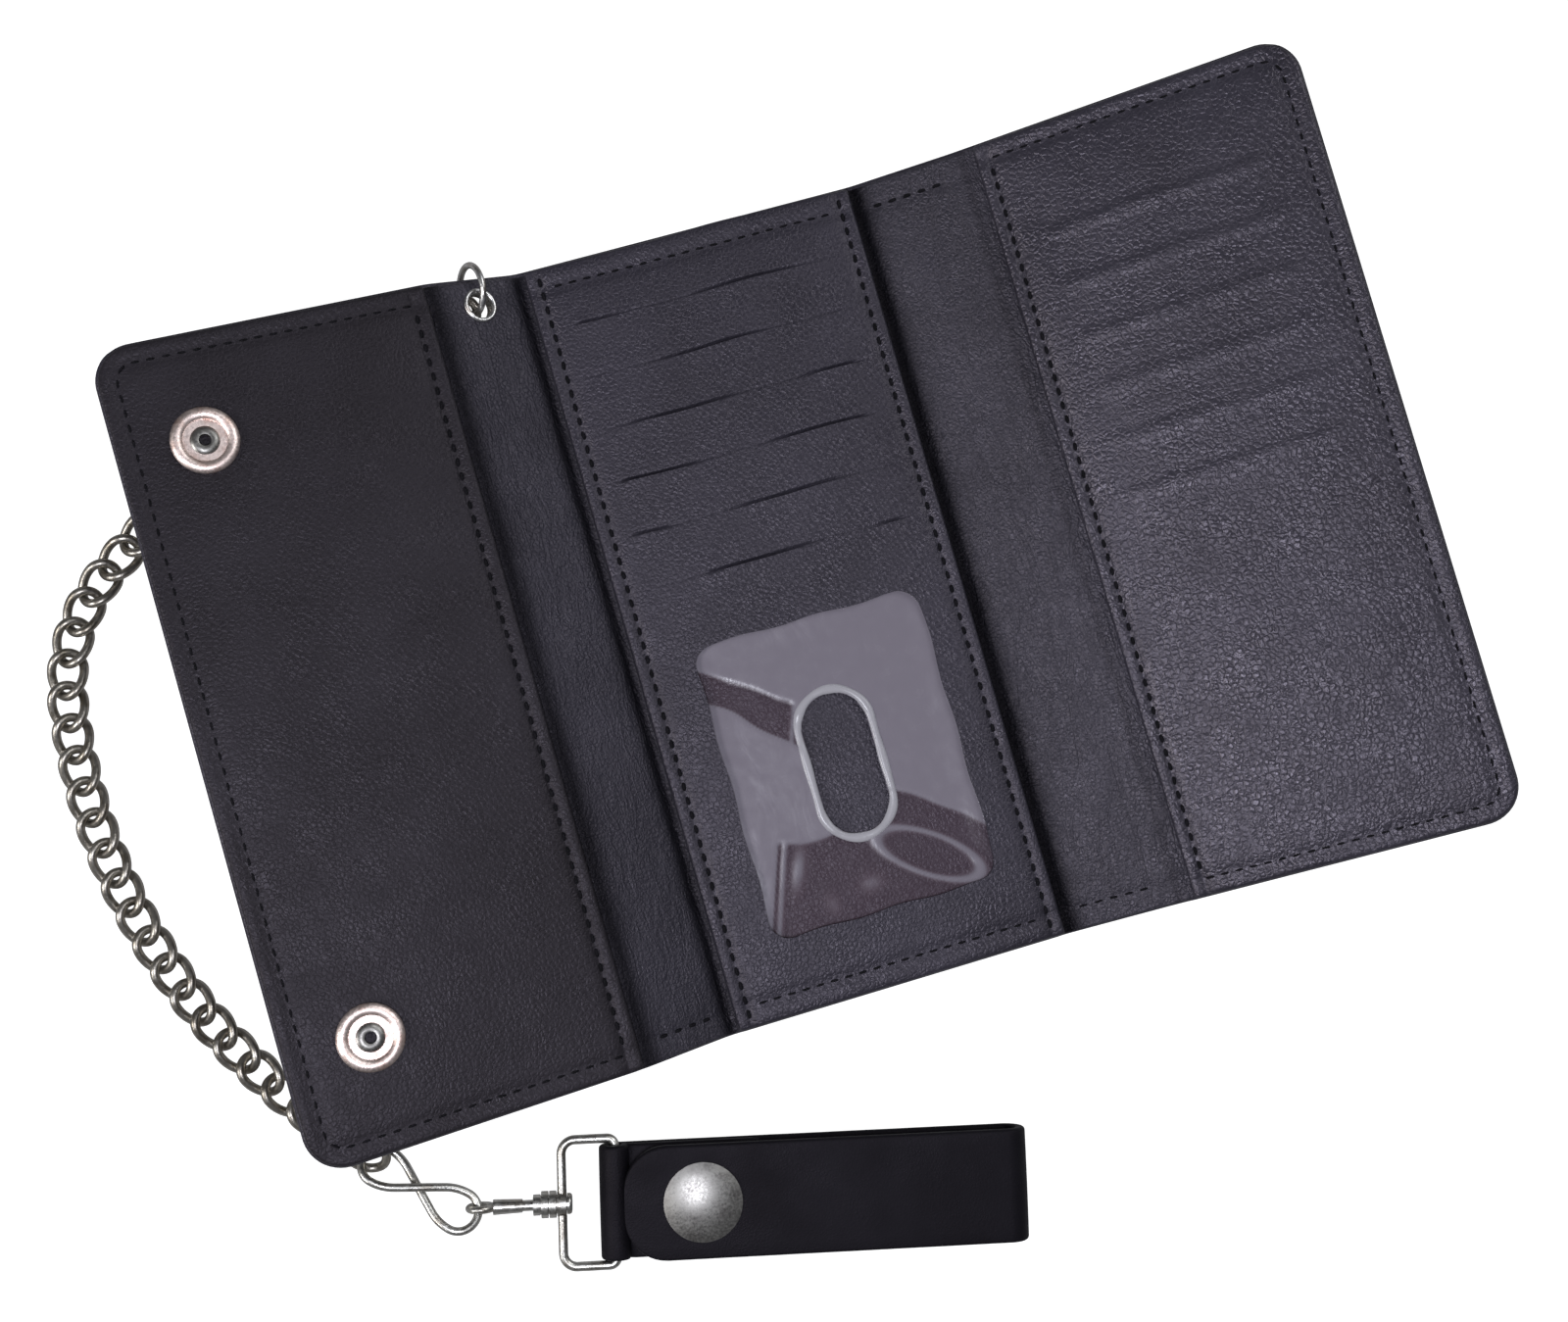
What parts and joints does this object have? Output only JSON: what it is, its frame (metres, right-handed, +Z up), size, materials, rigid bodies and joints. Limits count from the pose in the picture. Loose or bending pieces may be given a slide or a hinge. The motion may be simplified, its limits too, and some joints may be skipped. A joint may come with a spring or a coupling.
{
  "type": "chain wallet",
  "caption": "Open tri-fold leather wallet with card slots, clear identity card window and snaps, on a curb chain that ends in a swivel and a belt strap that snaps shut.",
  "frame": {"origin": "centre of the middle panel's underside, on the plane that the open wallet rests on", "axes": "+X towards the right panel, +Y towards the wallet's top edge where the eyelet is, +Z up out of the open wallet"},
  "size_m": [0.2821, 0.2267, 0.0327],
  "materials": {
    "black_leather": "pebbled",
    "gusset_leather": "creased",
    "strap_leather": "smooth",
    "lining_cloth": "matte",
    "clear_vinyl": "clear, slightly crinkled",
    "snap_metal": "satin",
    "eyelet_metal": "satin",
    "chain_nickel": "polished, slightly worn",
    "swivel_nickel": "satin"
  },
  "bodies": {
    "middle": {"middle_shell": "black_leather", "middle_lining": "lining_cloth", "middle_face": "black_leather", "card_pocket_sheets": "lining_cloth", "id_window": "clear_vinyl", "id_pocket_back": "lining_cloth"},
    "left_gusset": {"left_gusset_shell": "black_leather", "left_gusset_strip": "gusset_leather", "chain_eyelet": "eyelet_metal", "eyelet_washer": "eyelet_metal"},
    "left_panel": {"left_panel_shell": "black_leather", "left_lining": "lining_cloth", "left_face": "black_leather", "snap_caps": "snap_metal", "snap_sockets": "snap_metal"},
    "right_gusset": {"right_gusset_shell": "black_leather", "right_gusset_strip": "gusset_leather"},
    "right_panel": {"right_panel_shell": "black_leather", "right_lining": "lining_cloth", "right_face": "black_leather", "right_card_pockets": "lining_cloth", "snap_studs": "snap_metal", "snap_back_posts": "eyelet_metal"},
    "ring": {"chain_ring": "chain_nickel"},
    "end_link": {"chain_end_link": "chain_nickel"},
    "run_01": {"chain_run_01": "chain_nickel"},
    "run_02": {"chain_run_02": "chain_nickel"},
    "run_03": {"chain_run_03": "chain_nickel"},
    "run_04": {"chain_run_04": "chain_nickel"},
    "run_05": {"chain_run_05": "chain_nickel"},
    "run_06": {"chain_run_06": "chain_nickel"},
    "run_07": {"chain_run_07": "chain_nickel"},
    "run_08": {"chain_run_08": "chain_nickel"},
    "run_09": {"chain_run_09": "chain_nickel"},
    "run_10": {"chain_run_10": "chain_nickel"},
    "run_11": {"chain_run_11": "chain_nickel"},
    "run_12": {"chain_run_12": "chain_nickel"},
    "figure_eight": {"figure_eight_link": "chain_nickel"},
    "eye": {"swivel_eye": "swivel_nickel", "swivel_rivet_head": "swivel_nickel"},
    "frame": {"swivel_barrel": "swivel_nickel", "swivel_frame": "swivel_nickel"},
    "strap_base": {"strap_lower": "strap_leather", "strap_snap_stud": "snap_metal", "strap_back_post": "eyelet_metal"},
    "strap_flap": {"strap_upper": "strap_leather", "strap_snap_cap": "snap_metal", "strap_snap_socket": "snap_metal"}
  },
  "joints": [
    {"name": "fold_left", "type": "hinge", "parent": "middle", "child": "left_gusset", "pos_m": [-0.037, 0, 0.0012], "axis": [0, 1, 0], "range_deg": [0, 65]},
    {"name": "fold_left_panel", "type": "hinge", "parent": "left_gusset", "child": "left_panel", "pos_m": [-0.05475, 0, 0.01145], "axis": [0, 1, 0], "range_deg": [0, 101]},
    {"name": "fold_right", "type": "hinge", "parent": "middle", "child": "right_gusset", "pos_m": [0.037, 0, 0.0012], "axis": [0, -1, 0], "range_deg": [-3, 35.5]},
    {"name": "fold_right_panel", "type": "hinge", "parent": "right_gusset", "child": "right_panel", "pos_m": [0.05906, 0, 0.00654], "axis": [0, -1, 0], "range_deg": [-10.9, 128.1]},
    {"name": "ring_hang", "type": "hinge", "parent": "left_gusset", "child": "ring", "pos_m": [-0.04606, 0.0768, 0.00631], "axis": [0, 1, 0], "range_deg": [-31.5, 0]},
    {"name": "chain_hang", "type": "hinge", "parent": "ring", "child": "end_link", "pos_m": [-0.04798, 0.08206, 0.00188], "axis": [0, 1, 0], "range_deg": [-33.9, 0]},
    {"name": "run_01_turn", "type": "hinge", "parent": "end_link", "child": "run_01", "pos_m": [-0.05391, 0.07562, 0.00229], "axis": [0, 0, 1], "range_deg": [-3, 8]},
    {"name": "run_02_turn", "type": "hinge", "parent": "run_01", "child": "run_02", "pos_m": [-0.0733, 0.07161, 0.00225], "axis": [0, 0, -1], "range_deg": [-10, 10]},
    {"name": "run_03_turn", "type": "hinge", "parent": "run_02", "child": "run_03", "pos_m": [-0.09232, 0.06597, 0.00225], "axis": [0, 0, 1], "range_deg": [-10, 10]},
    {"name": "run_04_turn", "type": "hinge", "parent": "run_03", "child": "run_04", "pos_m": [-0.11056, 0.05815, 0.00225], "axis": [0, 0, -1], "range_deg": [-7, 12]},
    {"name": "run_05_turn", "type": "hinge", "parent": "run_04", "child": "run_05", "pos_m": [-0.12776, 0.04825, 0.00225], "axis": [0, 0, 1], "range_deg": [-12, 5]},
    {"name": "run_06_turn", "type": "hinge", "parent": "run_05", "child": "run_06", "pos_m": [-0.14233, 0.03502, 0.00225], "axis": [0, 0, -1], "range_deg": [-5, 12]},
    {"name": "run_07_turn", "type": "hinge", "parent": "run_06", "child": "run_07", "pos_m": [-0.14853, 0.01638, 0.00225], "axis": [0, 0, 1], "range_deg": [-12, 5]},
    {"name": "run_08_turn", "type": "hinge", "parent": "run_07", "child": "run_08", "pos_m": [-0.14912, -0.00344, 0.00225], "axis": [0, 0, -1], "range_deg": [-5, 12]},
    {"name": "run_09_turn", "type": "hinge", "parent": "run_08", "child": "run_09", "pos_m": [-0.14653, -0.02311, 0.00225], "axis": [0, 0, 1], "range_deg": [-12, 6]},
    {"name": "run_10_turn", "type": "hinge", "parent": "run_09", "child": "run_10", "pos_m": [-0.14082, -0.0421, 0.00225], "axis": [0, 0, -1], "range_deg": [-7, 12]},
    {"name": "run_11_turn", "type": "hinge", "parent": "run_10", "child": "run_11", "pos_m": [-0.13216, -0.05994, 0.00225], "axis": [0, 0, 1], "range_deg": [-12, 8]},
    {"name": "run_12_turn", "type": "hinge", "parent": "run_11", "child": "run_12", "pos_m": [-0.12096, -0.07631, 0.00225], "axis": [0, 0, -1], "range_deg": [-10, 12]},
    {"name": "figure_eight_turn", "type": "hinge", "parent": "run_12", "child": "figure_eight", "pos_m": [-0.114, -0.085, 0.0026], "axis": [0, 0, 1], "range_deg": [-10, 4]},
    {"name": "eye_tilt", "type": "hinge", "parent": "figure_eight", "child": "eye", "pos_m": [-0.0953, -0.10135, 0.0034], "axis": [-0.2453, -0.9694, 0], "range_deg": [0, 25]},
    {"name": "barrel_spin", "type": "hinge", "parent": "eye", "child": "frame", "pos_m": [-0.0827, -0.10454, 0.0034], "axis": [0.9694, -0.2453, 0], "continuous": true},
    {"name": "belt_strap_swing", "type": "hinge", "parent": "frame", "child": "strap_base", "pos_m": [-0.06874, -0.10807, 0.0034], "axis": [-0.2453, -0.9694, 0], "range_deg": [-10, 60]},
    {"name": "belt_flap_open", "type": "hinge", "parent": "strap_base", "child": "strap_flap", "pos_m": [0.01337, -0.12885, 0.00438], "axis": [0.2453, 0.9694, 0], "range_deg": [0, 170]}
  ],
  "couplings": [
    {"joint": "fold_left_panel", "follows": "fold_left", "ratio": 1.5538},
    {"joint": "fold_right_panel", "follows": "fold_right", "ratio": 3.6056},
    {"joint": "ring_hang", "follows": "fold_left", "ratio": -0.482},
    {"joint": "chain_hang", "follows": "fold_left", "ratio": -0.518}
  ]
}
